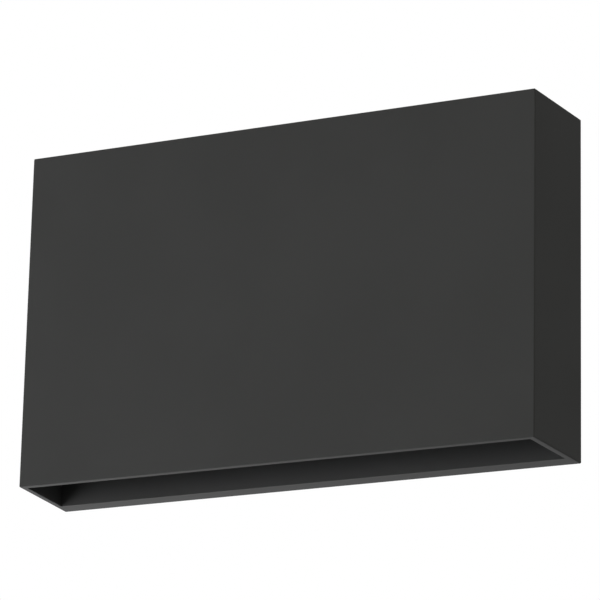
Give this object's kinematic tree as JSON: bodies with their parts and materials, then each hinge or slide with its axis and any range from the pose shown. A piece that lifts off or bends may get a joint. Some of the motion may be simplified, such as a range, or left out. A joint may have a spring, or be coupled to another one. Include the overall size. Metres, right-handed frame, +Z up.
{
  "type": "wall pack light",
  "caption": "Slim rectangular outdoor wall light: a cast housing with a recessed lens in its underside, hung on a slotted wall bracket and locked by set screws in the top.",
  "frame": {"origin": "centre of the wall-mounting face, on the wall's plane", "axes": "+X to the right of someone who faces the light, +Y into the wall, +Z up"},
  "size_m": [0.248, 0.0462, 0.153],
  "materials": {
    "housing_coat": "dark grey satin powder coat over die-cast aluminium",
    "frame_coat": "dark satin powder coat",
    "cover_sheet": "brushed sheet",
    "bracket_steel": "zinc plated",
    "screw_steel": "stainless",
    "earth_screw_brass": "plain",
    "lug_brass": "tinned",
    "lens_glass": "tempered, frosted inside",
    "silicone_seal": "matte silicone",
    "foam_seal": "closed-cell foam",
    "grommet_rubber": "matte",
    "thermal_pad": "matte",
    "board_mask": "white solder mask on an aluminium core",
    "led_phosphor": "phosphor gel",
    "reflector": "polished aluminium",
    "connector_plastic": "plain",
    "driver_case": "plain",
    "terminal_plastic": "plain",
    "vent_plastic": "plain",
    "supply_insulation": "plain",
    "led_insulation": "plain",
    "earth_insulation": "plain"
  },
  "bodies": {
    "wall_bracket": {"wall_bracket": "bracket_steel", "bracket_earth_screw": "earth_screw_brass"},
    "luminaire": {"housing": "housing_coat", "wall_seal": "foam_seal", "lens": "lens_glass", "lens_seal": "silicone_seal", "lens_frame": "frame_coat", "led_board": "board_mask", "thermal_pad": "thermal_pad", "led_chips": "led_phosphor", "reflector": "reflector", "led_connector": "connector_plastic", "lead_grommet": "grommet_rubber", "driver": "driver_case", "terminal_block": "terminal_plastic", "earth_lug": "lug_brass", "supply_leads": "supply_insulation", "led_leads": "led_insulation", "earth_lead": "earth_insulation", "rear_cover": "cover_sheet", "cover_seal": "silicone_seal", "cable_grommet": "grommet_rubber", "breather_vent": "vent_plastic", "rear_cover_screws": "screw_steel", "lens_frame_screws": "screw_steel", "led_board_screws": "screw_steel", "driver_screws": "screw_steel", "terminal_screws": "screw_steel", "earth_screw": "earth_screw_brass"},
    "set_screw_left": {"set_screw_left": "screw_steel"},
    "set_screw_right": {"set_screw_right": "screw_steel"}
  },
  "joints": [
    {"name": "hang", "type": "slide", "parent": "wall_bracket", "child": "luminaire", "axis": [0, -1, 0], "range_m": [0, 0.05]},
    {"name": "set_screw_left_turn", "type": "slide", "parent": "luminaire", "child": "set_screw_left", "axis": [0, 0, 1], "range_m": [0, 0.003]},
    {"name": "set_screw_right_turn", "type": "slide", "parent": "luminaire", "child": "set_screw_right", "axis": [0, 0, 1], "range_m": [0, 0.003]}
  ]
}
